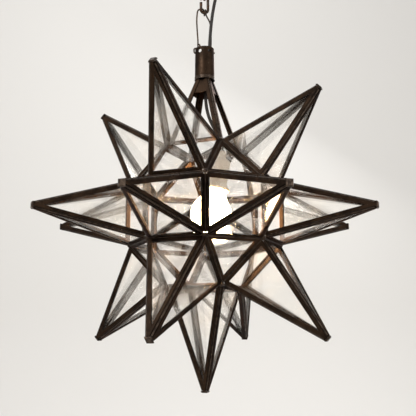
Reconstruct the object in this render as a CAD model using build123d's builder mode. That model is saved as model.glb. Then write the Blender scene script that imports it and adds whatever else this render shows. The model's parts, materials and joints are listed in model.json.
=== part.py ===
from build123d import *
import os
from math import acos, atan2, cos, hypot, pi, radians, sin, sqrt, tan

# A star pendant light: seventeen hollow glass points and eight flat panes on a 26-sided core,
# edged with folded tin channel, hung by a tin tube, a wire bail and an open link from a ceiling hook.
# Millimetres. The origin is on the ceiling, over the star's centre, and +Z is up.
# The front of the star is -Y. Heights in the names below are above the star's centre.

os.makedirs("parts", exist_ok=True)

# ---------------------------------------------------------------- driving dimensions

# star
core_edge = 84.0           # side of every square and triangle of the core
point_height = 147.5       # from the core to the tip of a point's panes
tip_width = 6.6            # across a point at its tip, between the middles of its panes
first_azimuth = -22.5      # where the first point round the equator stands, from the front

# tin channel and glass
channel_thickness = 3.6    # over both folded lips
side_channel = 4.8         # width of the channel along a pane's sloping sides
foot_channel = 5.4         # width along a pane's foot, where points are soldered together
corner_channel = 5.0       # width round the flat corner panes
channel_web = 1.0          # thickness of the channel's back
glass_thickness = 2.0
glass_play = 0.15          # between the glass and the channel, on every side
seam_gap = 0.2             # between two neighbouring channels
corner_snip = 1.8          # cut off the corners of a pane where several meet
tip_tin = 7.0              # closed tin at the narrow end of a pane

# solder on the tips
tip_cap_height = 1.3       # of each of the dab's two stages
tip_cap_taper = 20.0       # of the lower stage; the upper one leans twice as far
tip_cap_gap = 0.1
tip_plug_depth = 3.0

# hanger cage and tube
cage_height = 110.3        # from the top square to the foot of the tube
cage_top_step = 10.2       # how much narrower the cage's top is, between the middles of its sides,
                           # than the tube that stands on it
skirt_length = 22.5        # of the tin sheets that close the cage under the tube
skirt_sheet = 1.0
skirt_sag = 1.6            # how far the lower edge of a sheet bows down
tube_height = 51.4
tube_foot_diameter = 30.2
tube_rim_diameter = 29.2
tube_wall = 1.0
rim_hole_diameter = 5.4
rim_hole_drop = 7.0        # under the rim
rim_hole_pairs = 3
band_height = 5.0
band_thickness = 0.4
seat_gap = 0.15            # between pieces that stand on or round each other

# bail, link and hook
bail_wire = 2.4
bail_rise = 67.3           # from the rim holes to the link's lowest wire
bail_outside = 1.8         # from the tube's wall to the wire that has come out of a rim hole
bail_inside = 3.4          # the same on the wall's other side
bail_play = 0.4            # between the wire and the top of the rim hole it hangs in
wrap_slack = 0.45          # between the link's wire and the wraps before, behind and under it
wrap_lift = 0.4            # more over it, where the link's bend rises on both sides
wrap_pitch = 2.9           # along the link's wire, from one wrap to the next
link_wire = 4.5
link_width = 10.9          # between the middles of the link's two sides
link_length = 29.0         # between the middles of its two ends
link_free_end = 17.5       # from the middle of its lower end up to the free end
link_gap = 5.0
hook_wire = 5.0
hook_bowl_radius = 9.0     # to the middle of the wire
hook_neck_radius = 6.0
hook_shank = 7.9           # straight, under the nut
hook_end_angle = 185.0     # of the free end, round the bowl from level at its back

# ceiling fitting
plate_inset = 2.8          # between the plate's edge and the canopy's wall
plate_thickness = 2.0
screw_hole_diameter = 4.5
screw_spacing = 64.0
canopy_diameter = 100.0
canopy_depth = 24.0
canopy_lip = 6.0
canopy_flat_diameter = 74.0
canopy_wall = 1.2
nut_diameter = 15.0
nut_height = 8.0
gland_x = 22.0
gland_y = -6.0
gland_flange_diameter = 14.0
gland_flange = 2.0
gland_neck_diameter = 9.6
gland_neck = 3.0
gland_nose = 10.0
gland_nose_foot_diameter = 11.0
gland_nose_end_diameter = 8.0
bore_gap = 0.2             # round the flex and the hook where they pass through a hole

# lamp
mouth_height = 40.0        # of the middle of the holder's mouth
mouth_offset = 15.5        # of the same point, to the right of the star's centre
lamp_tilt = 10.0            # degrees
holder_diameter = 30.8
holder_wall = 1.3
holder_depth = 40.0        # from the mouth to the contact disc
flare_diameter = 37.0
flare_length = 12.0
holder_cap_height = 20.0
holder_cap_neck_diameter = 13.0
holder_cap_shoulder = 9.0
ring_diameter = 41.5
ring_height = 5.0
contact_disc = 4.0
contact_spring_diameter = 8.0
contact_spring = 1.6
bulb_diameter = 60.0
bulb_length = 105.0
bulb_cap_diameter = 26.4
bulb_cap_length = 25.0
bulb_cap_wall = 0.8
bulb_button_diameter = 9.0
bulb_button = 2.0
bulb_neck_diameter = 27.6
bulb_shoulder = 38.0       # degrees above the globe's middle where the neck's curve begins
bulb_glass_wall = 0.9
bulb_seat = 0.4            # between the bulb's button and the contact spring

# flex
flex_diameter = 5.0
flex_straight = 9.0        # of flex under the gland before it bends
flex_lead = 17.0           # of flex over the holder's cap before it bends
run_share = 0.45           # of the shorter run that each bend takes up

# ---------------------------------------------------------------- sizes worked out from them

core_half = core_edge / 2
core_apothem = core_edge * (1 + sqrt(2)) / 2
tip_half = tip_width / 2
slot_thickness = glass_thickness + 2 * glass_play
slot_inset = channel_web
glass_inset = channel_web + glass_play

point_slant = hypot(point_height, core_half - tip_half)
point_lean = atan2(point_height, core_half - tip_half)
cage_top_half = (tube_foot_diameter - cage_top_step) / 2
cage_slant = hypot(cage_height, core_half - cage_top_half)
cage_lean = atan2(cage_height, core_half - cage_top_half)
square_angle = radians(135)                  # of the core between two squares
corner_angle = acos(-sqrt(2 / 3))            # of the core between a square and a triangle
corner_tilt = acos(sqrt(2 / 3))              # of a corner pane, up from level
corner_slant = core_edge * sqrt(3) / 2


def stand_back(open_angle):
    """How far a pane stands back from an edge where it meets another pane at this angle."""
    return channel_thickness / 2 / tan(open_angle / 2) + seam_gap / 2


def ridge_angle(lean):
    """The angle inside a four-sided point or cage between two sides that lean this much."""
    return pi - acos(cos(lean) ** 2)


ridge_back = stand_back(ridge_angle(point_lean))
cage_back = stand_back(ridge_angle(cage_lean))
valley_back = stand_back(2 * pi - square_angle - 2 * point_lean)
cage_foot_back = stand_back(2 * pi - square_angle - point_lean - cage_lean)
corner_back = stand_back(2 * pi - corner_angle - point_lean)

cage_top = core_apothem + cage_height
tube_foot = cage_top + channel_thickness / 2 * cos(cage_lean) + seat_gap
tube_rim = tube_foot + tube_height
rim_hole_height = tube_rim - rim_hole_drop
in_holes = rim_hole_height + rim_hole_diameter / 2 - bail_wire / 2 - bail_play
link_foot = in_holes + bail_rise
link_head = link_foot + link_length
hook_foot = link_head - link_wire / 2 - hook_wire / 2 - seat_gap
hook_neck_rise = sqrt(hook_bowl_radius ** 2 + 2 * hook_neck_radius * hook_bowl_radius)
hook_drop = (canopy_depth + seat_gap + nut_height + hook_shank + hook_neck_rise
             + hook_bowl_radius)       # ceiling to the lowest point of the hook's middle line
star_drop = hook_foot + hook_drop      # ceiling to the star's centre
plate_diameter = canopy_diameter - 2 * (canopy_wall + plate_inset)


def at(x, y, height):
    """A point of the light, from its place right of, behind and above the star's centre."""
    return Vector(x, y, height - star_drop)


def heading(azimuth):
    """The level direction at this angle from the front, turning to the right."""
    return Vector(sin(radians(azimuth)), -cos(radians(azimuth)), 0)


def aside(azimuth):
    """The level direction across that one."""
    return Vector(cos(radians(azimuth)), sin(radians(azimuth)), 0)


def square_plane(azimuth, elevation):
    """The plane of a core square, facing outwards, its Y running up."""
    out = heading(azimuth) * cos(radians(elevation)) + Vector(0, 0, sin(radians(elevation)))
    return Plane(origin=at(0, 0, 0) + out * core_apothem, x_dir=aside(azimuth), z_dir=out)


def corner_plane(azimuth, upward):
    """The plane of a core triangle, its origin on the middle of the edge next to the equator."""
    out = heading(azimuth) * cos(corner_tilt) + Vector(0, 0, upward * sin(corner_tilt))
    edge = at(0, 0, upward * core_half) + heading(azimuth) * core_apothem
    return Plane(origin=edge, x_dir=aside(azimuth) * upward, z_dir=out)


def side_location(side, lean):
    """A side of a point in its square's plane: side 0 is the lower one, then right, upper and left."""
    foot = Plane(origin=(0, -core_half, 0), x_dir=(1, 0, 0), z_dir=(0, -sin(lean), cos(lean)))
    return Location((0, 0, 0), (0, 0, 90 * side)) * foot.location


def tapered_outline(foot_half, top_half, slant, foot, inset, top):
    """Corners of an outline inside a pane: foot and top are heights on it, inset is from its sides.
    An outline whose sides meet below its top ends where they meet."""
    narrowing = (foot_half - top_half) / slant
    foot_half = foot_half - inset * hypot(1, narrowing)
    foot_end = foot_half - narrowing * foot
    top_end = foot_half - narrowing * top
    corners = [(-foot_end, foot), (foot_end, foot)]
    if top_end > 0:
        return corners + [(top_end, top), (-top_end, top)]
    return corners + [(0, foot_half / narrowing)]


def point_outline(foot, inset, top=point_slant):
    return tapered_outline(core_half, tip_half, point_slant, foot, inset, top)


def cage_outline(foot, inset, top=cage_slant):
    return tapered_outline(core_half, cage_top_half, cage_slant, foot, inset, top)


def corner_outline(inset):
    return tapered_outline(core_half, 0, corner_slant, inset, inset, corner_slant)


def flat_piece(outline, thickness, snip_all):
    """A flat sheet of this outline, with its foot corners, or all its corners, snipped off."""
    with BuildPart() as sheet:
        with BuildSketch() as face:
            Polygon(*outline)
            corners = face.vertices() if snip_all else face.vertices().group_by(Axis.Y)[0]
            chamfer(corners, corner_snip)
        extrude(amount=thickness / 2, both=True)
    return sheet.part


def channel_ring(outline, window, slot, snip_all=False):
    """A closed ring of folded tin channel, open to its pane by the slot that the glass sits in."""
    with BuildPart() as ring:
        add(flat_piece(outline, channel_thickness, snip_all))
        add(flat_piece(slot, slot_thickness, snip_all), mode=Mode.SUBTRACT)
        with BuildSketch():
            Polygon(*window)
        extrude(amount=channel_thickness, both=True, mode=Mode.SUBTRACT)
    return ring.part


def place_copies(name, piece, locations):
    """Write one node that holds a copy of the piece, a solid of its own, at each location."""
    with BuildPart() as node:
        with Locations(*locations):
            add(piece)
    node.part.label = name
    export_step(node.part, f"parts/{name}.step")


def place_sides(name, pieces, plane, lean):
    """Write one node that holds the four sides of a point, the lower one first."""
    with BuildPart() as node:
        for side, piece in enumerate(pieces):
            with Locations(plane.location * side_location(side, lean)):
                add(piece)
    node.part.label = name
    export_step(node.part, f"parts/{name}.step")


def bends(points):
    """The radius of each bend of a wire or flex that runs through these points."""
    radii = []
    for before, here, after in zip(points, points[1:], points[2:]):
        run_in = here - before
        run_out = after - here
        half_turn = radians(run_in.get_angle(run_out)) / 2
        radii.append(run_share * min(run_in.length, run_out.length) / tan(half_turn))
    return radii


def least_gap(route, diameter):
    """The least gap between a wire and itself, measured on points a quarter of its width apart."""
    count = int(4 * route.length / diameter)
    spots = [route.position_at(step / count) for step in range(count + 1)]
    far = 8                                  # nearer neighbours are the same stretch of wire
    return min((spots[i] - spots[j]).length
               for i in range(len(spots)) for j in range(i + far, len(spots))) - diameter


def round_bar(name, points, diameter):
    """Write one node, a round wire or flex along these points, and print how it bends."""
    radii = bends(points)
    with BuildPart() as bar:
        with BuildLine() as route:
            FilletPolyline(*points, radius=radii)
        with BuildSketch(Plane(origin=points[0], z_dir=points[1] - points[0])):
            Circle(diameter / 2)
        sweep(path=route.wire())
    bar.part.label = name
    export_step(bar.part, f"parts/{name}.step")
    section = pi * diameter ** 2 / 4
    print(f"{name}: length {route.wire().length:.1f}, least radius {min(radii):.1f},",
          f"volume over section x length {bar.part.volume / section / route.wire().length:.4f},",
          f"least gap to itself {least_gap(route.wire(), diameter):.2f}")


# ---------------------------------------------------------------- star points

def point_pane(foot_back):
    """The channel ring and the glass of one side of a point."""
    ring = channel_ring(
        outline=point_outline(foot_back, ridge_back),
        window=point_outline(foot_back + foot_channel, ridge_back + side_channel),
        slot=point_outline(foot_back + slot_inset, ridge_back + slot_inset, point_slant - tip_tin),
    )
    glass_outline = point_outline(foot_back + glass_inset, ridge_back + glass_inset,
                                  point_slant - tip_tin - glass_play)
    return ring, flat_piece(glass_outline, glass_thickness, snip_all=False)


valley_ring, valley_glass = point_pane(valley_back)      # beside another point
corner_ring, corner_glass = point_pane(corner_back)      # beside a flat corner pane
cage_side_ring, cage_side_glass = point_pane(cage_foot_back)

point_planes = []


def star_point(name, number, plane, sides):
    """Write the frame and the glass of one point. Each side names what it stands beside."""
    rings = {"point": valley_ring, "corner": corner_ring, "cage": cage_side_ring}
    panes = {"point": valley_glass, "corner": corner_glass, "cage": cage_side_glass}
    ending = f"_{number}" if number else ""
    place_sides(f"{name}_frame{ending}", [rings[side] for side in sides], plane, point_lean)
    place_sides(f"{name}_glass{ending}", [panes[side] for side in sides], plane, point_lean)
    point_planes.append(plane)


for step in range(8):
    beside = "point" if step % 2 == 0 else "corner"
    star_point("equator_point", step + 1, square_plane(first_azimuth + 45 * step, 0),
               [beside, "point", beside, "point"])

for step in range(4):
    star_point("upper_point", step + 1, square_plane(first_azimuth + 90 * step, 45),
               ["point", "corner", "cage", "corner"])

for step in range(4):
    star_point("lower_point", step + 1, square_plane(first_azimuth + 90 * step, -45),
               ["point", "corner", "point", "corner"])

bottom_plane = Plane(origin=at(0, 0, -core_apothem), x_dir=aside(first_azimuth), z_dir=(0, 0, -1))
star_point("bottom_point", None, bottom_plane, ["point"] * 4)

# ---------------------------------------------------------------- flat corner panes

flat_ring = channel_ring(
    outline=corner_outline(corner_back),
    window=corner_outline(corner_back + corner_channel),
    slot=corner_outline(corner_back + slot_inset),
    snip_all=True,
)
flat_glass = flat_piece(corner_outline(corner_back + glass_inset), glass_thickness, snip_all=True)

for level, upward in (("upper", 1), ("lower", -1)):
    places = [corner_plane(first_azimuth + 45 + 90 * step, upward).location for step in range(4)]
    place_copies(f"{level}_corner_frame", flat_ring, places)
    place_copies(f"{level}_corner_glass", flat_glass, places)

# ---------------------------------------------------------------- solder that closes the tips

tip_outer_half = tip_half + channel_thickness / 2 / sin(point_lean)
tip_inner_half = tip_half - channel_thickness / 2 / sin(point_lean)
tip_end = point_height + channel_thickness / 2 * cos(point_lean) + tip_cap_gap

with BuildPart() as tip_dab:
    with BuildSketch(Plane.XY.offset(tip_end)):
        Rectangle(2 * tip_outer_half, 2 * tip_outer_half)
    extrude(amount=tip_cap_height, taper=tip_cap_taper)
    extrude(tip_dab.faces().sort_by(Axis.Z)[-1], amount=tip_cap_height, taper=2 * tip_cap_taper)
    with BuildSketch(Plane.XY.offset(tip_end)):
        Rectangle(2 * tip_inner_half - 2 * seat_gap, 2 * tip_inner_half - 2 * seat_gap)
    extrude(amount=-tip_plug_depth)

place_copies("tip_solder", tip_dab.part, [plane.location for plane in point_planes])

# ---------------------------------------------------------------- hanger cage

cage_plane = Plane(origin=at(0, 0, core_apothem), x_dir=aside(first_azimuth), z_dir=(0, 0, 1))
sill_top = cage_foot_back + side_channel

with BuildPart() as sill:
    add(flat_piece(cage_outline(cage_foot_back, cage_back, sill_top), channel_thickness, snip_all=False))
    with BuildSketch():
        Polygon(*cage_outline(cage_foot_back + slot_inset, cage_back + slot_inset, sill_top))
    extrude(amount=slot_thickness / 2, both=True, mode=Mode.SUBTRACT)

with BuildPart() as leg_pair:
    with BuildSketch():
        Polygon(*cage_outline(sill_top + seam_gap, cage_back))
        Polygon(*cage_outline(0, cage_back + side_channel), mode=Mode.SUBTRACT)
    extrude(amount=channel_thickness / 2, both=True)
    with BuildSketch():
        Polygon(*cage_outline(0, cage_back + slot_inset))
    extrude(amount=slot_thickness / 2, both=True, mode=Mode.SUBTRACT)

skirt_outline = cage_outline(cage_slant - skirt_length, cage_back + glass_inset)
with BuildPart() as skirt_side:
    with BuildSketch():
        with BuildLine():
            foot_left, foot_right, top_right, top_left = skirt_outline
            Polyline(foot_right, top_right, top_left, foot_left)
            SagittaArc(foot_left, foot_right, -skirt_sag)
        make_face()
    extrude(amount=skirt_sheet / 2, both=True)

place_sides("cage_sills", [sill.part] * 4, cage_plane, cage_lean)
place_sides("cage_legs", [leg_pair.part] * 4, cage_plane, cage_lean)
place_sides("cage_skirt", [skirt_side.part] * 4, cage_plane, cage_lean)

# ---------------------------------------------------------------- hanger tube

tube_foot_radius = tube_foot_diameter / 2
tube_rim_radius = tube_rim_diameter / 2

with BuildPart() as hanger_tube:
    with BuildSketch(Plane.XZ):
        with Locations((0, tube_foot - star_drop)):
            Polygon((tube_foot_radius - tube_wall, 0), (tube_foot_radius, 0),
                    (tube_rim_radius, tube_height), (tube_rim_radius - tube_wall, tube_height))
    revolve(axis=Axis.Z)
    for turn in range(rim_hole_pairs):
        across = aside(turn * 180 / rim_hole_pairs)
        with BuildSketch(Plane(origin=at(0, 0, rim_hole_height), z_dir=across)):
            Circle(rim_hole_diameter / 2)
        extrude(amount=tube_foot_diameter, both=True, mode=Mode.SUBTRACT)
hanger_tube.part.label = "hanger_tube"
export_step(hanger_tube.part, "parts/hanger_tube.step")

band_inner = tube_foot_radius + seat_gap
with BuildPart() as tube_band:
    with BuildSketch(Plane.XZ):
        with Locations((0, tube_foot - star_drop)):
            Polygon((band_inner, 0), (band_inner + band_thickness, 0),
                    (band_inner + band_thickness, band_height), (band_inner, band_height))
    revolve(axis=Axis.Z)
    rims = tube_band.edges().filter_by(GeomType.CIRCLE).group_by(SortBy.RADIUS)[-1]
    chamfer(rims, band_thickness / 3)
tube_band.part.label = "tube_band"
export_step(tube_band.part, "parts/tube_band.step")

# ---------------------------------------------------------------- bail

wrap = link_wire / 2 + bail_wire / 2 + wrap_slack     # from the middle of the link's wire to the wraps'
wrap_top = link_foot + wrap + wrap_lift
hole_out = tube_rim_radius + bail_outside
hole_in = tube_rim_radius - bail_inside


def bail_at(x, y, share):
    """A point of the bail this share of the way up from the rim holes to the link."""
    return at(x, y, in_holes + share * bail_rise)


wraps = []                                           # round the link, from above its wire in front
for turn in range(2):
    wraps += [at(turn * wrap_pitch - 1.75, -wrap, wrap_top), at(turn * wrap_pitch - 1.15, wrap, wrap_top)]
    wraps += [at(turn * wrap_pitch - 0.35, wrap, link_foot - wrap),
              at(turn * wrap_pitch + 0.45, -wrap, link_foot - wrap)]
wraps = wraps[:-2]                                   # the second turn goes on down the right leg
wraps[0] -= Vector(0, 0.8, 0)                        # the first comes in from farther in front

bail_points = [
    at(-11.4, -3.5, in_holes + 13.8),                # end of the twist, in front of the bail's own leg
    at(-7.4, -3.4, in_holes + 12.4),
    at(-7.4, 2.7, in_holes + 10.8),
    at(-13.3, 2.7, in_holes + 9.2),
    at(-hole_out, 0.8, in_holes + 7.6),
    at(-hole_out, 0, in_holes),                      # outside the left rim hole
    at(-hole_in, 0, in_holes),                       # inside it
    at(-10.4, -0.2, in_holes + 9.0),
    bail_at(-10.3, -0.9, 0.31),
    bail_at(-11.5, -2.6, 0.54),
    bail_at(-12.4, -4.8, 0.80),
    at(-10.8, -wrap - 3.2, link_foot + 2.0),         # shoulder, clear of the link when the bail swings
    *wraps,
    at(2.4, wrap, link_foot - 2.6),
    bail_at(8.7, 4.6, 0.80),
    bail_at(9.9, 4.2, 0.60),
    bail_at(10.3, 3.0, 0.33),
    at(10.0, 1.4, in_holes + 9.0),
    at(hole_in, 0, in_holes),                        # inside the right rim hole
    at(tube_rim_radius + 1.2, 0, in_holes),
]
round_bar("bail_wire", bail_points, bail_wire)

# ---------------------------------------------------------------- open link

link_half = link_width / 2
link_low_centre = link_foot - star_drop + link_half
link_high_centre = link_head - star_drop - link_half
free_end = link_foot - star_drop + link_free_end

with BuildPart() as open_link:
    with BuildLine(Plane.XZ) as link_route:
        Line((-link_half, free_end), (-link_half, link_low_centre))
        RadiusArc((-link_half, link_low_centre), (link_half, link_low_centre), -link_half)
        Line((link_half, link_low_centre), (link_half, link_high_centre))
        RadiusArc((link_half, link_high_centre), (-link_half, link_high_centre), -link_half)
        Line((-link_half, link_high_centre), (-link_half, free_end + link_gap))
    with BuildSketch(Plane(origin=(-link_half, 0, free_end), z_dir=(0, 0, -1))):
        Circle(link_wire / 2)
    sweep(path=link_route.wire())
open_link.part.label = "open_link"
export_step(open_link.part, "parts/open_link.step")

# ---------------------------------------------------------------- ceiling hook and its nut

bowl_centre = hook_foot - star_drop + hook_bowl_radius
neck_centre = bowl_centre + hook_neck_rise
neck_angle = atan2(hook_neck_rise, hook_neck_radius)
shank_end = -bore_gap


def on_circle(centre_height, centre_side, radius, angle):
    return (centre_side + radius * cos(angle), centre_height + radius * sin(angle))


with BuildPart() as ceiling_hook:
    with BuildLine(Plane.YZ) as hook_route:
        neck_start = (0, neck_centre)
        neck_middle = on_circle(neck_centre, hook_neck_radius, hook_neck_radius, pi + neck_angle / 2)
        neck_end = on_circle(bowl_centre, 0, hook_bowl_radius, neck_angle)
        bowl_middle = on_circle(bowl_centre, 0, hook_bowl_radius, -radians(hook_end_angle) / 3)
        bowl_end = on_circle(bowl_centre, 0, hook_bowl_radius, -radians(hook_end_angle))
        Line((0, shank_end), neck_start)
        ThreePointArc(neck_start, neck_middle, neck_end)
        ThreePointArc(neck_end, bowl_middle, bowl_end)
    with BuildSketch(Plane(origin=(0, 0, shank_end), z_dir=(0, 0, -1))):
        Circle(hook_wire / 2)
    sweep(path=hook_route.wire())
ceiling_hook.part.label = "ceiling_hook"
export_step(ceiling_hook.part, "parts/ceiling_hook.step")

shank_bore = hook_wire / 2 + bore_gap
with BuildPart() as hook_nut:
    with BuildSketch(Plane.XY.offset(-canopy_depth - seat_gap)):
        RegularPolygon(nut_diameter / 2, 6)
    extrude(amount=-nut_height)
    chamfer(hook_nut.faces().sort_by(Axis.Z)[0].edges(), nut_height / 6)
    with Locations((0, 0, -canopy_depth)):
        Hole(shank_bore)
hook_nut.part.label = "hook_nut"
export_step(hook_nut.part, "parts/hook_nut.step")

# ---------------------------------------------------------------- ceiling plate and canopy

with BuildPart() as ceiling_plate:
    with BuildSketch():
        Circle(plate_diameter / 2)
        Circle(shank_bore, mode=Mode.SUBTRACT)
        with Locations((0, -screw_spacing / 2), (0, screw_spacing / 2)):
            Circle(screw_hole_diameter / 2, mode=Mode.SUBTRACT)
        with Locations((gland_x, gland_y)):
            Circle(gland_neck_diameter / 2, mode=Mode.SUBTRACT)
    extrude(amount=-plate_thickness)
ceiling_plate.part.label = "ceiling_plate"
export_step(ceiling_plate.part, "parts/ceiling_plate.step")

canopy_radius = canopy_diameter / 2
canopy_flat = canopy_flat_diameter / 2
with BuildPart() as ceiling_canopy:
    with BuildSketch(Plane.XZ):
        with BuildLine():
            Polyline((0, -canopy_depth), (0, 0), (canopy_radius, 0), (canopy_radius, -canopy_lip))
            RadiusArc((canopy_radius, -canopy_lip), (canopy_flat, -canopy_depth), canopy_depth)
            Line((canopy_flat, -canopy_depth), (0, -canopy_depth))
        make_face()
    revolve(axis=Axis.Z)
    offset(amount=-canopy_wall, openings=ceiling_canopy.faces().sort_by(Axis.Z)[-1])
    with Locations((0, 0, -canopy_depth)):
        Hole(shank_bore)
    with Locations((gland_x, gland_y, -canopy_depth)):
        Hole(gland_neck_diameter / 2 + bore_gap)
ceiling_canopy.part.label = "ceiling_canopy"
export_step(ceiling_canopy.part, "parts/ceiling_canopy.step")

# ---------------------------------------------------------------- flex gland

gland_face = -canopy_depth - seat_gap
gland_end = gland_face - gland_flange - gland_nose
with BuildPart() as flex_gland:
    with BuildSketch(Plane.XZ.offset(-gland_y)):
        with Locations((gland_x, gland_face)):
            bore = flex_diameter / 2 + bore_gap
            Polygon(
                (bore, gland_neck), (gland_neck_diameter / 2, gland_neck), (gland_neck_diameter / 2, 0),
                (gland_flange_diameter / 2, 0), (gland_flange_diameter / 2, -gland_flange),
                (gland_nose_foot_diameter / 2, -gland_flange),
                (gland_nose_end_diameter / 2, -gland_flange - gland_nose),
                (bore, -gland_flange - gland_nose),
            )
    revolve(axis=Axis((gland_x, gland_y, 0), (0, 0, 1)))
flex_gland.part.label = "flex_gland"
export_step(flex_gland.part, "parts/flex_gland.step")

# ---------------------------------------------------------------- flex

lamp_up = Vector(sin(radians(lamp_tilt)), 0, cos(radians(lamp_tilt)))
mouth = at(mouth_offset, 0, mouth_height)
cap_top = mouth + lamp_up * (holder_depth + holder_cap_height)

flex_bend_high = at(15.8, -6.4, link_foot + 15.0)
flex_bend_low = at(11.2, -5.2, link_foot - 12.0)
flex_over_rim = at(8.3, -3.4, in_holes + 23.0)
flex_in_tube = at(5.7, -1.0, in_holes - 23.0)
link_split = (flex_bend_high + flex_bend_low) / 2      # where the flex passes the bail's wraps
rim_split = (flex_over_rim + flex_in_tube) / 2         # where it passes the rim holes

flex_top = [
    Vector(gland_x, gland_y, gland_face + gland_neck),
    Vector(gland_x, gland_y, gland_end - flex_straight),
    flex_bend_high,
    link_split,
]
flex_low = [link_split, flex_bend_low, flex_over_rim, rim_split]
flex_in = [
    rim_split,
    flex_in_tube,
    at(2.4, -0.4, in_holes - 48.0),
    at(0.9, 0, in_holes - 75.0),
    at(4.6, 0, in_holes - 100.0),
    at(14.2, 0, in_holes - 123.0),
    cap_top + lamp_up * flex_lead,
    cap_top - lamp_up * (holder_cap_height / 2),
]
round_bar("flex_upper", flex_top, flex_diameter)
round_bar("flex_lower", flex_low, flex_diameter)
round_bar("flex_inner", flex_in, flex_diameter)

# ---------------------------------------------------------------- lamp holder

lamp_axis = Axis(mouth, lamp_up)
# a half section through the lamp: X is out from its axis, Y is up along it, from the holder's mouth
lamp_section = Plane(origin=mouth, x_dir=(cos(radians(lamp_tilt)), 0, -sin(radians(lamp_tilt))),
                     z_dir=(0, -1, 0))
holder_radius = holder_diameter / 2
holder_bore = holder_radius - holder_wall
flare_radius = flare_diameter / 2
flare_bore = flare_radius - holder_wall

with BuildPart() as holder_body:
    with BuildSketch(lamp_section):
        Polygon(
            (flare_bore, 0), (flare_radius, 0), (flare_radius, ring_height),
            (holder_radius, flare_length), (holder_radius, holder_depth),
            (holder_bore, holder_depth), (holder_bore, flare_length), (flare_bore, ring_height),
        )
    revolve(axis=lamp_axis)
holder_body.part.label = "holder_body"
export_step(holder_body.part, "parts/holder_body.step")

with BuildPart() as holder_ring:
    with BuildSketch(lamp_section):
        Polygon(
            (flare_radius + seat_gap, 0), (ring_diameter / 2 - ring_height / 4, 0),
            (ring_diameter / 2, ring_height / 4), (ring_diameter / 2, ring_height * 3 / 4),
            (ring_diameter / 2 - ring_height / 4, ring_height), (flare_radius + seat_gap, ring_height),
        )
    revolve(axis=lamp_axis)
holder_ring.part.label = "holder_ring"
export_step(holder_ring.part, "parts/holder_ring.step")

disc_low = holder_depth + seat_gap
with BuildPart() as holder_contacts:
    with BuildSketch(lamp_section):
        Polygon(
            (0, disc_low - contact_spring), (contact_spring_diameter / 2, disc_low - contact_spring),
            (contact_spring_diameter / 2, disc_low), (holder_radius - holder_wall, disc_low),
            (holder_radius - holder_wall, disc_low + contact_disc), (0, disc_low + contact_disc),
        )
    revolve(axis=lamp_axis)
holder_contacts.part.label = "holder_contacts"
export_step(holder_contacts.part, "parts/holder_contacts.step")

cap_low = holder_depth + seat_gap
neck_radius = holder_cap_neck_diameter / 2
neck_bore = flex_diameter / 2 + bore_gap
with BuildPart() as holder_cap:
    with BuildSketch(lamp_section):
        with BuildLine():
            cap_foot = (holder_radius, cap_low)
            shoulder = (holder_radius, cap_low + holder_cap_shoulder / 2)
            neck_foot = (neck_radius, cap_low + holder_cap_shoulder + holder_wall)
            Polyline((holder_radius - holder_wall + seat_gap, cap_low), cap_foot, shoulder)
            RadiusArc(shoulder, neck_foot, -holder_radius)
            Polyline(neck_foot, (neck_radius, cap_low + holder_cap_height),
                     (neck_bore, cap_low + holder_cap_height),
                     (neck_bore, cap_low + contact_disc + seat_gap),
                     (holder_radius - holder_wall + seat_gap, cap_low + contact_disc + seat_gap),
                     (holder_radius - holder_wall + seat_gap, cap_low))
        make_face()
    revolve(axis=lamp_axis)
holder_cap.part.label = "holder_cap"
export_step(holder_cap.part, "parts/holder_cap.step")

# ---------------------------------------------------------------- bulb

button_top = disc_low - contact_spring - bulb_seat
cap_end = button_top - bulb_button - bulb_cap_length
glass_start = cap_end - seat_gap
bulb_end = button_top - bulb_length
bulb_radius = bulb_diameter / 2
globe_centre = bulb_end + bulb_radius
neck_glass = bulb_neck_diameter / 2
cap_radius = bulb_cap_diameter / 2

with BuildPart() as bulb_cap:
    with BuildSketch(lamp_section):
        Polygon(
            (0, button_top), (bulb_button_diameter / 2, button_top),
            (bulb_button_diameter / 2, button_top - bulb_button),
            (cap_radius - bulb_button, button_top - bulb_button),
            (cap_radius, button_top - 2 * bulb_button), (cap_radius, cap_end),
            (cap_radius - bulb_cap_wall, cap_end),
            (cap_radius - bulb_cap_wall, button_top - 2 * bulb_button),
            (cap_radius - bulb_button, button_top - bulb_button - bulb_cap_wall),
            (0, button_top - bulb_button - bulb_cap_wall),
        )
    revolve(axis=lamp_axis)
bulb_cap.part.label = "bulb_cap"
export_step(bulb_cap.part, "parts/bulb_cap.step")

shoulder_angle = radians(bulb_shoulder)


def bulb_outline(inset):
    """Half the outline of the bulb's glass, or of its inside, this far in from the glass's outside."""
    globe = bulb_radius - inset
    neck = (neck_glass - inset, glass_start)
    shoulder = (globe * cos(shoulder_angle), globe_centre + globe * sin(shoulder_angle))
    end = (0, globe_centre - globe)
    with BuildLine() as outline:
        Line((0, glass_start), neck)
        TangentArc(neck, shoulder, tangent=(-sin(shoulder_angle), cos(shoulder_angle)),
                   tangent_from_first=False)
        ThreePointArc(shoulder, (globe, globe_centre), end)
        Line(end, (0, glass_start))
    return outline.line


with BuildPart() as bulb_glass:
    with BuildSketch(lamp_section):
        make_face(bulb_outline(0).edges())
        make_face(bulb_outline(bulb_glass_wall).edges(), mode=Mode.SUBTRACT)
    revolve(axis=lamp_axis)
bulb_glass.part.label = "bulb_glass"
export_step(bulb_glass.part, "parts/bulb_glass.step")
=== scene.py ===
"""The looks of a star pendant light: clear glass points edged with dark tin channel round a lit bulb.

Metres, in the part's own frame: the origin is on the ceiling, +Z is up, and the front is -Y.
"""

import json
import math

import bmesh
import bpy
from mathutils import Matrix, Vector


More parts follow.
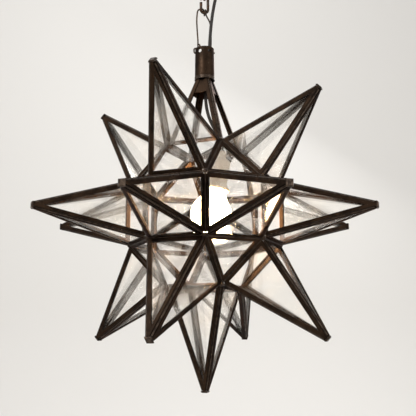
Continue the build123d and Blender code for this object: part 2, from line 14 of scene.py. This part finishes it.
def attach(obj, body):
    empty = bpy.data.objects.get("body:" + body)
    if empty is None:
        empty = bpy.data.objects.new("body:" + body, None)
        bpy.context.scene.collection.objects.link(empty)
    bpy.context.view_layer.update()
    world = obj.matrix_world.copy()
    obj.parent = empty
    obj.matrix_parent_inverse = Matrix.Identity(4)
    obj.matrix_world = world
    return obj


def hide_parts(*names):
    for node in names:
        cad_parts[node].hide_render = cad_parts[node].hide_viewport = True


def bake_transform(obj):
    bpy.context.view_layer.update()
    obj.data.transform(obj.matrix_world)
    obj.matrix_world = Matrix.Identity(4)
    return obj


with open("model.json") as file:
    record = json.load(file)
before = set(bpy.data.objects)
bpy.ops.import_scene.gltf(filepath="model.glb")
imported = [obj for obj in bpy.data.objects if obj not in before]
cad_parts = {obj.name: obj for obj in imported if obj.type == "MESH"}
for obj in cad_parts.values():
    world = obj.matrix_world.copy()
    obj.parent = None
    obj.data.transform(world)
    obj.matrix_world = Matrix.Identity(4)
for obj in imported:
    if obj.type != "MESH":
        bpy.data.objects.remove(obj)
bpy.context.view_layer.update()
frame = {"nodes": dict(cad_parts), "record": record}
nodes = frame["nodes"]
scene = bpy.context.scene

STAR_CENTRE = Vector((0, 0, -0.4120462))
CORE_EDGE = 0.084                # side of the core's squares and triangles
FIRST_AZIMUTH = math.radians(-22.5)

# ---------------------------------------------------------------- camera

PHOTO_WIDTH = 416                # pixels, square
FOCAL_PIXELS = 661.68
CAMERA_FROM_STAR = Vector((-0.0047, -0.9663, -0.1661))
CAMERA_PITCH = math.radians(10.52)
CAMERA_PAN = math.radians(0.55)  # to the right
CAMERA_ROLL = math.radians(-0.16)

camera = bpy.data.objects.new("camera", bpy.data.cameras.new("camera"))
scene.collection.objects.link(camera)
camera.data.sensor_width = 36
camera.data.lens = 36 * FOCAL_PIXELS / PHOTO_WIDTH
camera.data.clip_start = 0.01
camera.matrix_world = (
    Matrix.Translation(STAR_CENTRE + CAMERA_FROM_STAR)
    @ Matrix.Rotation(-CAMERA_PAN, 4, "Z")
    @ Matrix.Rotation(math.pi / 2 + CAMERA_PITCH, 4, "X")
    @ Matrix.Rotation(CAMERA_ROLL, 4, "Z")
)
scene.camera = camera

# ---------------------------------------------------------------- finishes


class Finish:
    """A material of one Principled shader, with short calls for the nodes that feed it."""

    def __init__(self, name, **sockets):
        self.material = bpy.data.materials.new(name)
        self.material.use_nodes = True
        self.tree = self.material.node_tree
        self.shader = self.tree.nodes["Principled BSDF"]
        self.place = self.node("ShaderNodeTexCoord").outputs["Object"]
        self.set(**sockets)

    def node(self, kind, inputs=None, **settings):
        made = self.tree.nodes.new(kind)
        for key, value in settings.items():
            setattr(made, key, value)
        for key, value in (inputs or {}).items():
            self.feed(made.inputs[key], value)
        return made

    def feed(self, socket, value):
        if isinstance(value, bpy.types.NodeSocket):
            self.tree.links.new(value, socket)
        elif isinstance(value, (tuple, list)) and len(value) == 3 and len(socket.default_value) == 4:
            socket.default_value = (*value, 1)
        else:
            socket.default_value = value

    def set(self, **sockets):
        """Set the shader's sockets. base_color is Base Color, and so on."""
        for key, value in sockets.items():
            self.feed(self.shader.inputs[key.replace("_", " ").title().replace("Ior", "IOR")], value)

    def grain(self, size, detail=3, rough=0.55, stretch=(1, 1, 1)):
        """Noise whose spots are about this many metres across."""
        scaled = self.node("ShaderNodeMapping", {"Vector": self.place, "Scale": stretch})
        return self.node(
            "ShaderNodeTexNoise",
            {"Vector": scaled.outputs[0], "Scale": 1 / size, "Detail": detail, "Roughness": rough},
        ).outputs["Fac"]

    def between(self, value, low, high, out_low=0.0, out_high=1.0):
        """Where value runs from low to high, run smoothly from one output to the other."""
        return self.node(
            "ShaderNodeMapRange",
            {"Value": value, "From Min": low, "From Max": high, "To Min": out_low, "To Max": out_high},
            interpolation_type="SMOOTHSTEP",
        ).outputs[0]

    def mix(self, share, first, second):
        made = self.node("ShaderNodeMix", data_type="RGBA")
        self.feed(made.inputs[0], share)
        self.feed(made.inputs[6], first)
        self.feed(made.inputs[7], second)
        return made.outputs[2]

    def math(self, operation, first, second=0.0):
        made = self.node("ShaderNodeMath", operation=operation)
        self.feed(made.inputs[0], first)
        self.feed(made.inputs[1], second)
        return made.outputs[0]

    def bump(self, height, depth, strength=1.0):
        self.set(normal=self.node(
            "ShaderNodeBump", {"Height": height, "Distance": depth, "Strength": strength}
        ).outputs[0])


def aged_tin():
    """Folded tin with a near-black brown patina, rubbed lighter in streaks, with a few bright specks."""
    finish = Finish("aged_tin", metallic=0.75, specular_tint=(0.42, 0.34, 0.27))
    patches = finish.grain(0.026, detail=4)
    streaks = finish.grain(0.006, detail=5, rough=0.65)
    specks = finish.grain(0.0016, detail=2)
    brown = finish.mix(finish.between(patches, 0.35, 0.65), (0.010, 0.006, 0.004), (0.030, 0.017, 0.010))
    worn = finish.mix(finish.between(streaks, 0.55, 0.78, 0, 0.55), brown, (0.085, 0.050, 0.029))
    finish.set(
        base_color=finish.mix(finish.between(specks, 0.68, 0.76, 0, 0.5), worn, (0.30, 0.24, 0.18)),
        roughness=finish.between(streaks, 0.3, 0.7, 0.34, 0.56),
    )
    finish.bump(streaks, 0.0002, 0.6)
    return finish.material


def seedy_glass():
    """Clear sheet glass with fine seeds, slow waves and a thin warm film of dust."""
    finish = Finish("seedy_glass", base_color=(1.0, 0.96, 0.88), ior=1.3)
    film = finish.grain(0.045, detail=5, rough=0.6)
    seeds = finish.grain(0.0020, detail=1)
    scratches = finish.grain(0.0025, detail=3, stretch=(1.0, 1.0, 0.12))
    dots = finish.between(seeds, 0.70, 0.76, 0, 1)
    hazy = finish.between(film, 0.42, 0.78, 0, 1)
    finish.set(
        transmission_weight=finish.between(film, 0.40, 0.80, 0.98, 0.72),
        alpha=finish.math("ADD", finish.between(film, 0.35, 0.8, 0.15, 0.30),
                          finish.math("MULTIPLY", dots, 0.25)),
        roughness=finish.math("ADD", finish.math("MULTIPLY", hazy, 0.16),
                              finish.between(scratches, 0.62, 0.72, 0.025, 0.20)),
    )
    finish.bump(finish.math("ADD", finish.math("MULTIPLY", film, 0.6), dots), 0.0002, 0.35)
    return finish.material


def dull_solder(name, bright, tarnished):
    """Solder with bright places left in its tarnish."""
    finish = Finish(name, metallic=0.85)
    tarnish = finish.grain(0.005, detail=4)
    finish.set(
        base_color=finish.mix(finish.between(tarnish, 0.40, 0.62), bright, tarnished),
        roughness=finish.between(tarnish, 0.3, 0.7, 0.24, 0.50),
    )
    finish.bump(finish.grain(0.003, detail=2), 0.0003, 0.8)
    return finish.material


def dark_steel(name, colour, spot):
    """Dark steel with rust spots about this many metres across."""
    finish = Finish(name, metallic=0.9)
    rust = finish.grain(spot, detail=5, rough=0.65)
    finish.set(
        base_color=finish.mix(finish.between(rust, 0.45, 0.7), colour, (0.11, 0.055, 0.028)),
        roughness=finish.between(rust, 0.3, 0.7, 0.34, 0.62),
    )
    finish.bump(rust, 0.00015, 0.6)
    return finish.material


def satin(name, colour, dusty, rough, metallic=0.0):
    """Paint, plastic or plain metal under a little dust."""
    finish = Finish(name, metallic=metallic)
    dust = finish.grain(0.012, detail=4)
    finish.set(
        base_color=finish.mix(finish.between(dust, 0.4, 0.75), colour, dusty),
        roughness=finish.between(dust, 0.3, 0.7, rough, rough + 0.18),
    )
    finish.bump(finish.grain(0.0012, detail=2), 0.00005, 0.5)
    return finish.material


def lit_bulb():
    """Pearl glass, lit warm from inside."""
    finish = Finish("lit_pearl_glass", base_color=(1.0, 0.96, 0.90), roughness=0.35,
                    emission_color=(1.0, 0.66, 0.34), emission_strength=90.0)
    return finish.material


FINISHES = {
    "tin": aged_tin(),
    "pane_glass": seedy_glass(),
    "solder": dull_solder("tarnished_solder", (0.058, 0.040, 0.028), (0.020, 0.013, 0.009)),
    "binding_wire": dark_steel("binding_wire", (0.045, 0.034, 0.026), 0.004),
    "link_steel": dark_steel("link_steel", (0.042, 0.032, 0.025), 0.005),
    "hook_steel": dark_steel("hook_steel", (0.070, 0.056, 0.044), 0.006),
    "plate_steel": satin("zinc_plate", (0.56, 0.55, 0.53), (0.46, 0.45, 0.43), 0.35, metallic=0.9),
    "canopy_paint": satin("bronze_paint", (0.036, 0.025, 0.018), (0.060, 0.046, 0.035), 0.38, metallic=0.3),
    "gland_plastic": satin("gland_plastic", (0.035, 0.03, 0.027), (0.07, 0.06, 0.05), 0.45),
    "flex_sheath": satin("flex_sheath", (0.012, 0.009, 0.007), (0.026, 0.020, 0.016), 0.62),
    "holder_plastic": satin("cream_holder", (0.66, 0.57, 0.44), (0.54, 0.45, 0.33), 0.28),
    "contact_brass": satin("contact_brass", (0.72, 0.52, 0.22), (0.50, 0.34, 0.14), 0.3, metallic=1.0),
    "bulb_cap_metal": satin("bulb_cap_metal", (0.66, 0.63, 0.58), (0.5, 0.47, 0.42), 0.25, metallic=1.0),
    "bulb_glass": lit_bulb(),
}

for subpart in frame["record"]["subparts"]:
    mesh = nodes[subpart["node"]].data
    mesh.materials.clear()
    mesh.materials.append(FINISHES[subpart["material_slot"]])

# ---------------------------------------------------------------- flex

FLEX_DIAMETER = 0.005
FLEX_SIDES = 20

GLAND_X, GLAND_Y, GLAND_END, GLAND_START = 0.022, -0.006, -0.03615, -0.02115
FLEX_STRAIGHT = 0.009            # under the gland, before it bends
FLEX_LEAD = 0.017                # over the holder's cap, before it bends
FLEX_IN_CAP = 0.010
LINK_FOOT = -0.0868977
RIM_HOLES = -0.1541977
CAP_TOP = Vector((0.0259189, 0, -0.3129578))
LAMP_UP = Vector((0.1736482, 0, 0.9848078))

BEND_HIGH = Vector((0.0158, -0.0064, LINK_FOOT + 0.015))
BEND_LOW = Vector((0.0112, -0.0052, LINK_FOOT - 0.012))
OVER_RIM = Vector((0.0083, -0.0034, RIM_HOLES + 0.023))
IN_TUBE = Vector((0.0057, -0.0010, RIM_HOLES - 0.023))
LINK_SPLIT = (BEND_HIGH + BEND_LOW) / 2
RIM_SPLIT = (OVER_RIM + IN_TUBE) / 2

FLEX_ROUTES = {
    "flex_upper": [
        Vector((GLAND_X, GLAND_Y, GLAND_START)),
        Vector((GLAND_X, GLAND_Y, GLAND_END - FLEX_STRAIGHT)),
        BEND_HIGH,
        LINK_SPLIT,
    ],
    "flex_lower": [LINK_SPLIT, BEND_LOW, OVER_RIM, RIM_SPLIT],
    "flex_inner": [
        RIM_SPLIT,
        IN_TUBE,
        Vector((0.0024, -0.0004, RIM_HOLES - 0.048)),
        Vector((0.0009, 0, RIM_HOLES - 0.075)),
        Vector((0.0046, 0, RIM_HOLES - 0.100)),
        Vector((0.0142, 0, RIM_HOLES - 0.123)),
        CAP_TOP + LAMP_UP * FLEX_LEAD,
        CAP_TOP - LAMP_UP * FLEX_IN_CAP,
    ],
}


def smooth_route(name, points):
    """The points of a NURBS line that runs along these control points."""
    curve = bpy.data.curves.new(name + "_route", "CURVE")
    curve.dimensions = "3D"
    curve.resolution_u = 16
    spline = curve.splines.new("NURBS")
    spline.points.add(len(points) - 1)
    for point, place in zip(spline.points, points):
        point.co = (*place, 1)
    spline.order_u = 3
    spline.use_endpoint_u = True
    carrier = bpy.data.objects.new(name + "_route", curve)
    scene.collection.objects.link(carrier)
    line = bpy.data.meshes.new_from_object(carrier)
    route = [vertex.co.copy() for vertex in line.vertices]
    bpy.data.objects.remove(carrier)
    bpy.data.meshes.remove(line)
    return route


def tube_along(name, route, radius, sides):
    """A closed round tube along a route, its rings turned as little as possible."""
    shape = bmesh.new()
    rings = []
    across = None
    for i, place in enumerate(route):
        ahead = (route[min(i + 1, len(route) - 1)] - route[max(i - 1, 0)]).normalized()
        across = ahead.orthogonal() if across is None else across - ahead * across.dot(ahead)
        across.normalize()
        beside = ahead.cross(across)
        rings.append([
            shape.verts.new(place + radius * (across * math.cos(turn) + beside * math.sin(turn)))
            for turn in (2 * math.pi * side / sides for side in range(sides))
        ])
    for low, high in zip(rings, rings[1:]):
        for side in range(sides):
            after = (side + 1) % sides
            shape.faces.new((low[side], low[after], high[after], high[side]))
    shape.faces.new(reversed(rings[0]))
    shape.faces.new(rings[-1])
    bmesh.ops.recalc_face_normals(shape, faces=shape.faces)
    mesh = bpy.data.meshes.new(name)
    shape.to_mesh(mesh)
    shape.free()
    mesh.polygons.foreach_set("use_smooth", [len(face.vertices) == 4 for face in mesh.polygons])
    piece = bpy.data.objects.new(name, mesh)
    scene.collection.objects.link(piece)
    return piece


for name, points in FLEX_ROUTES.items():
    route = smooth_route(name, points)
    flex = tube_along(name + "_sheath", route, FLEX_DIAMETER / 2, FLEX_SIDES)
    flex.data.materials.append(FINISHES["flex_sheath"])
    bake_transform(flex)
    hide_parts(name)

# ---------------------------------------------------------------- solder seams and dabs

CORE_HALF = CORE_EDGE / 2
CORE_APOTHEM = CORE_EDGE * (1 + math.sqrt(2)) / 2
CORNER_FOLD = math.acos(math.sqrt(2 / 3))    # from a square's facing to a flat corner pane's
POINT_HEIGHT, TIP_HALF = 0.1475, 0.0033
CAGE_HEIGHT, CAGE_TOP_HALF = 0.1103, 0.0100
CHANNEL_THICKNESS = 0.0036
SEAM_LIFT = 0.0001               # of a valley's bead off the channels
RIDGE_INSET = 0.0010             # of a ridge's bead, towards the point's axis
RIDGE_START, RIDGE_END = 0.03, 0.985         # shares of the way from the core to the tip
RIDGE_WIDTH, VALLEY_WIDTH, BEAD_WOBBLE = 0.0030, 0.0021, 0.0006
BEAD_STEP, BEAD_GRAIN, BEAD_SIDES = 0.005, 0.009, 8
DAB_WIDTH, DAB_HEIGHT, DAB_WOBBLE, DAB_GRAIN = 0.0072, 0.0042, 0.0009, 0.003
DAB_LIFT = 0.0026                # of a dab's middle out of the core's corner
DAB_SMALLEST, DAB_LARGEST, DAB_SEED = 0.85, 1.2, 7
UP = Vector((0, 0, 1))


def core_squares():
    """The core's eighteen squares: the facing, the corners, and the rise and top of what stands there."""
    facings = [(UP, FIRST_AZIMUTH), (-UP, FIRST_AZIMUTH)]
    for count, rise in ((8, 0), (4, math.pi / 4), (4, -math.pi / 4)):
        for step in range(count):
            azimuth = FIRST_AZIMUTH + math.tau * step / count
            level = Vector((math.sin(azimuth), -math.cos(azimuth), 0))
            facings.append((level * math.cos(rise) + UP * math.sin(rise), azimuth))
    squares = []
    for facing, azimuth in facings:
        across = Vector((math.cos(azimuth), math.sin(azimuth), 0)) * CORE_HALF
        along = facing.cross(across)
        middle = STAR_CENTRE + facing * CORE_APOTHEM
        corners = [middle - across - along, middle + across - along,
                   middle + across + along, middle - across + along]
        squares.append((facing, middle, corners,
                        *((CAGE_HEIGHT, CAGE_TOP_HALF) if facing == UP else (POINT_HEIGHT, TIP_HALF))))
    return squares


def ridge_lines():
    """The four ridges of each point and of the cage, just inside the line where the panes meet."""
    lines = []
    for facing, middle, corners, height, top_half in core_squares():
        for corner in corners:
            sideways = corner - middle
            tip = middle + facing * height + sideways * (top_half / CORE_HALF)
            inside = sideways.normalized() * RIDGE_INSET
            lines.append((corner.lerp(tip, RIDGE_START) - inside, corner.lerp(tip, RIDGE_END) - inside))
    return lines


def valley_lines():
    """The core's edges, moved out to where the outer corners of two channels meet."""
    edges = {}
    for facing, middle, corners, height, top_half in core_squares():
        lean = math.atan2(height, CORE_HALF - top_half)
        for start, end in zip(corners, corners[1:] + corners[:1]):
            inward = (middle - (start + end) / 2).normalized()
            pane = inward * math.cos(lean) + facing * math.sin(lean)
            flat = -inward * math.cos(CORNER_FOLD) - facing * math.sin(CORNER_FOLD)
            key = tuple(round(value, 4) for value in (start + end) / 2)
            edges.setdefault(key, []).append((start, end, pane, flat))
    lines = []
    for sides in edges.values():
        start, end, pane, flat = sides[0]
        other = sides[1][2] if len(sides) == 2 else flat      # a flat corner pane is the other side
        half_angle = pane.angle(other) / 2
        out = (pane + other).normalized() * (CHANNEL_THICKNESS / 2 / math.sin(half_angle) + SEAM_LIFT)
        lines.append((start + out, end + out))
    return lines


def new_tree(name, sizes):
    """An empty Geometry Nodes tree with these named sizes, and a short call that adds a node."""
    tree = bpy.data.node_groups.new(name, "GeometryNodeTree")
    tree.interface.new_socket("Geometry", in_out="INPUT", socket_type="NodeSocketGeometry")
    for size in sizes:
        tree.interface.new_socket(size, in_out="INPUT", socket_type="NodeSocketFloat")
    tree.interface.new_socket("Geometry", in_out="OUTPUT", socket_type="NodeSocketGeometry")

    def add(kind, inputs=None, **settings):
        node = tree.nodes.new(kind)
        for key, value in settings.items():
            setattr(node, key, value)
        for key, value in (inputs or {}).items():
            if isinstance(value, bpy.types.NodeSocket):
                tree.links.new(value, node.inputs[key])
            else:
                node.inputs[key].default_value = value
        return node

    return tree, add


def wobble(add, grain, depth):
    """A small shift of each place, the same each run, as hand work leaves."""
    noise = add("ShaderNodeTexNoise", {"Scale": 1 / grain, "Detail": 1.0})
    centred = add("ShaderNodeVectorMath", {0: noise.outputs["Color"], 1: (0.5, 0.5, 0.5)},
                  operation="SUBTRACT")
    return add("ShaderNodeVectorMath", {0: centred.outputs[0], "Scale": depth}, operation="SCALE").outputs[0]


def solder_bead_tree(material):
    """A round, slightly uneven bead along every edge of a mesh."""
    tree, add = new_tree("solder_bead", ["Bead Width", "Wobble"])
    given = add("NodeGroupInput")
    lines = add("GeometryNodeMeshToCurve", {"Mesh": given.outputs["Geometry"]})
    cut = add("GeometryNodeResampleCurve", {"Curve": lines.outputs["Curve"], "Length": BEAD_STEP},
              mode="LENGTH")
    uneven = add("GeometryNodeSetPosition", {
        "Geometry": cut.outputs["Curve"], "Offset": wobble(add, BEAD_GRAIN, given.outputs["Wobble"])})
    half = add("ShaderNodeMath", {0: given.outputs["Bead Width"], 1: 0.5}, operation="MULTIPLY")
    profile = add("GeometryNodeCurvePrimitiveCircle", {"Resolution": BEAD_SIDES, "Radius": half.outputs[0]})
    bead = add("GeometryNodeCurveToMesh", {
        "Curve": uneven.outputs["Geometry"], "Profile Curve": profile.outputs["Curve"], "Fill Caps": True})
    finish_tree(tree, add, bead.outputs["Mesh"], material)
    return tree


def solder_dab_tree(material):
    """A flattened, lumpy dab on every vertex of a mesh, facing away from the star's centre."""
    tree, add = new_tree("solder_dab", ["Dab Width", "Dab Height", "Wobble"])
    given = add("NodeGroupInput")
    half = add("ShaderNodeMath", {0: given.outputs["Dab Width"], 1: 0.5}, operation="MULTIPLY")
    flat = add("ShaderNodeMath", {0: given.outputs["Dab Height"], 1: given.outputs["Dab Width"]},
               operation="DIVIDE")
    ball = add("GeometryNodeMeshIcoSphere", {"Radius": half.outputs[0], "Subdivisions": 3})
    place = add("GeometryNodeInputPosition")
    away = add("ShaderNodeVectorMath", {0: place.outputs[0], 1: tuple(STAR_CENTRE)}, operation="SUBTRACT")
    turned = add("FunctionNodeAlignRotationToVector", {"Vector": away.outputs[0]}, axis="Z")
    random = add("FunctionNodeRandomValue", {"Min": DAB_SMALLEST, "Max": DAB_LARGEST, "Seed": DAB_SEED},
                 data_type="FLOAT")
    spread = next(out for out in random.outputs if out.enabled)
    rise = add("ShaderNodeMath", {0: spread, 1: flat.outputs[0]}, operation="MULTIPLY")
    size = add("ShaderNodeCombineXYZ", {"X": spread, "Y": 1.0, "Z": rise.outputs[0]})
    dabs = add("GeometryNodeInstanceOnPoints", {
        "Points": given.outputs["Geometry"], "Instance": ball.outputs["Mesh"],
        "Rotation": turned.outputs["Rotation"], "Scale": size.outputs[0]})
    loose = add("GeometryNodeRealizeInstances", {"Geometry": dabs.outputs["Instances"]})
    lumpy = add("GeometryNodeSetPosition", {
        "Geometry": loose.outputs["Geometry"], "Offset": wobble(add, DAB_GRAIN, given.outputs["Wobble"])})
    finish_tree(tree, add, lumpy.outputs["Geometry"], material)
    return tree


def finish_tree(tree, add, geometry, material):
    """End a tree: smooth faces, no instances left, and the material on them."""
    smooth = add("GeometryNodeSetShadeSmooth", {"Geometry": geometry})
    plain = add("GeometryNodeRealizeInstances", {"Geometry": smooth.outputs["Geometry"]})
    dressed = add("GeometryNodeSetMaterial", {"Geometry": plain.outputs["Geometry"], "Material": material})
    out = add("NodeGroupOutput")
    tree.links.new(dressed.outputs["Geometry"], out.inputs["Geometry"])


def grown(name, places, lines, tree, **sizes):
    """Run a tree on loose vertices and edges, and keep what it makes as a plain mesh of the star."""
    seed_mesh = bpy.data.meshes.new(name + "_lines")
    seed_mesh.from_pydata(places, lines, [])
    carrier = bpy.data.objects.new(name + "_lines", seed_mesh)
    scene.collection.objects.link(carrier)
    modifier = carrier.modifiers.new("grow", "NODES")
    modifier.node_group = tree
    for item in tree.interface.items_tree:
        if item.in_out == "INPUT" and item.name in sizes:
            modifier[item.identifier] = sizes[item.name]
    seen = carrier.evaluated_get(bpy.context.evaluated_depsgraph_get())
    mesh = bpy.data.meshes.new_from_object(seen)
    bpy.data.objects.remove(carrier)
    mesh.name = name
    piece = bpy.data.objects.new(name, mesh)
    scene.collection.objects.link(piece)
    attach(piece, "star")


def bead_piece(name, lines, tree, width):
    """A bead along each of these lines."""
    places = [place for line in lines for place in line]
    edges = [(i, i + 1) for i in range(0, len(places), 2)]
    grown(name, places, edges, tree, **{"Bead Width": width, "Wobble": BEAD_WOBBLE})


def core_corners():
    """The core's corners, each once."""
    corners_by_place = {}
    for _, _, corners, _, _ in core_squares():
        for corner in corners:
            corners_by_place[tuple(round(value, 4) for value in corner)] = corner
    return corners_by_place.values()


bead_tree = solder_bead_tree(FINISHES["solder"])
bead_piece("ridge_solder", ridge_lines(), bead_tree, RIDGE_WIDTH)
bead_piece("valley_solder", valley_lines(), bead_tree, VALLEY_WIDTH)
dab_places = [corner + (corner - STAR_CENTRE).normalized() * DAB_LIFT for corner in core_corners()]
grown("core_dabs", dab_places, [], solder_dab_tree(FINISHES["solder"]),
      **{"Dab Width": DAB_WIDTH, "Dab Height": DAB_HEIGHT, "Wobble": DAB_WOBBLE})

# ---------------------------------------------------------------- stage and light


def studio_sweep():
    """A pale floor that curves up into a backdrop."""
    floor, back, top, bend, half_width, front = -1.35, 2.3, 2.2, 0.9, 4.0, -3.2
    profile = [(front, floor), (back - bend, floor)]
    profile += [
        (back - bend + bend * math.sin(turn), floor + bend - bend * math.cos(turn))
        for turn in (math.pi / 2 * step / 24 for step in range(1, 25))
    ]
    profile.append((back, top))
    shape = bmesh.new()
    rows = [[shape.verts.new((x, y, z)) for x in (-half_width, half_width)] for y, z in profile]
    for low, high in zip(rows, rows[1:]):
        shape.faces.new((low[0], low[1], high[1], high[0])).smooth = True
    mesh = bpy.data.meshes.new("studio_sweep")
    shape.to_mesh(mesh)
    shape.free()
    finish = Finish("studio_paper", base_color=(0.78, 0.765, 0.74), roughness=0.9)
    mesh.materials.append(finish.material)
    sweep = bpy.data.objects.new("studio_sweep", mesh)
    scene.collection.objects.link(sweep)


def soft_lamp(name, place, aim, size, power):
    """A round soft lamp turned to shine at a place."""
    light = bpy.data.lights.new(name, "AREA")
    light.shape = "DISK"
    light.size = size
    light.energy = power
    lamp = bpy.data.objects.new(name, light)
    lamp.location = place
    lamp.rotation_euler = (Vector(aim) - Vector(place)).to_track_quat("-Z", "Y").to_euler()
    scene.collection.objects.link(lamp)


def studio_sky():
    """An even pale sky: weaker as light, and brighter where the camera, metal or glass sees it."""
    world = bpy.data.worlds.new("studio")
    scene.world = world
    world.use_nodes = True
    nodes, links = world.node_tree.nodes, world.node_tree.links
    lighting, seen = nodes["Background"], nodes.new("ShaderNodeBackground")
    for background, strength in ((lighting, SKY_LIGHT), (seen, SKY_SEEN)):
        background.inputs["Color"].default_value = SKY_COLOUR
        background.inputs["Strength"].default_value = strength
    rays = nodes.new("ShaderNodeLightPath")
    any_ray = rays.outputs["Is Camera Ray"]
    for kind in ("Is Glossy Ray", "Is Transmission Ray"):
        either = nodes.new("ShaderNodeMath")
        either.operation = "MAXIMUM"
        links.new(any_ray, either.inputs[0])
        links.new(rays.outputs[kind], either.inputs[1])
        any_ray = either.outputs[0]
    choice = nodes.new("ShaderNodeMixShader")
    links.new(any_ray, choice.inputs[0])
    links.new(lighting.outputs[0], choice.inputs[1])
    links.new(seen.outputs[0], choice.inputs[2])
    links.new(choice.outputs[0], nodes["World Output"].inputs["Surface"])


SKY_COLOUR = (1.0, 0.985, 0.96, 1)
SKY_LIGHT, SKY_SEEN = 0.45, 0.80

studio_sweep()
soft_lamp("key", (-1.5, -1.7, 0.9), STAR_CENTRE, 1.4, 38)
soft_lamp("fill", (1.9, -1.4, -0.1), STAR_CENTRE, 1.6, 16)
soft_lamp("back", (0.9, 1.6, 1.0), STAR_CENTRE, 1.2, 22)
soft_lamp("wall", (-0.4, 0.3, 1.9), (0.0, 2.2, -0.3), 1.6, 22)
studio_sky()

scene.view_settings.view_transform = "Standard"
scene.cycles.transparent_max_bounces = 48
scene.cycles.max_bounces = 20
scene.cycles.transmission_bounces = 16
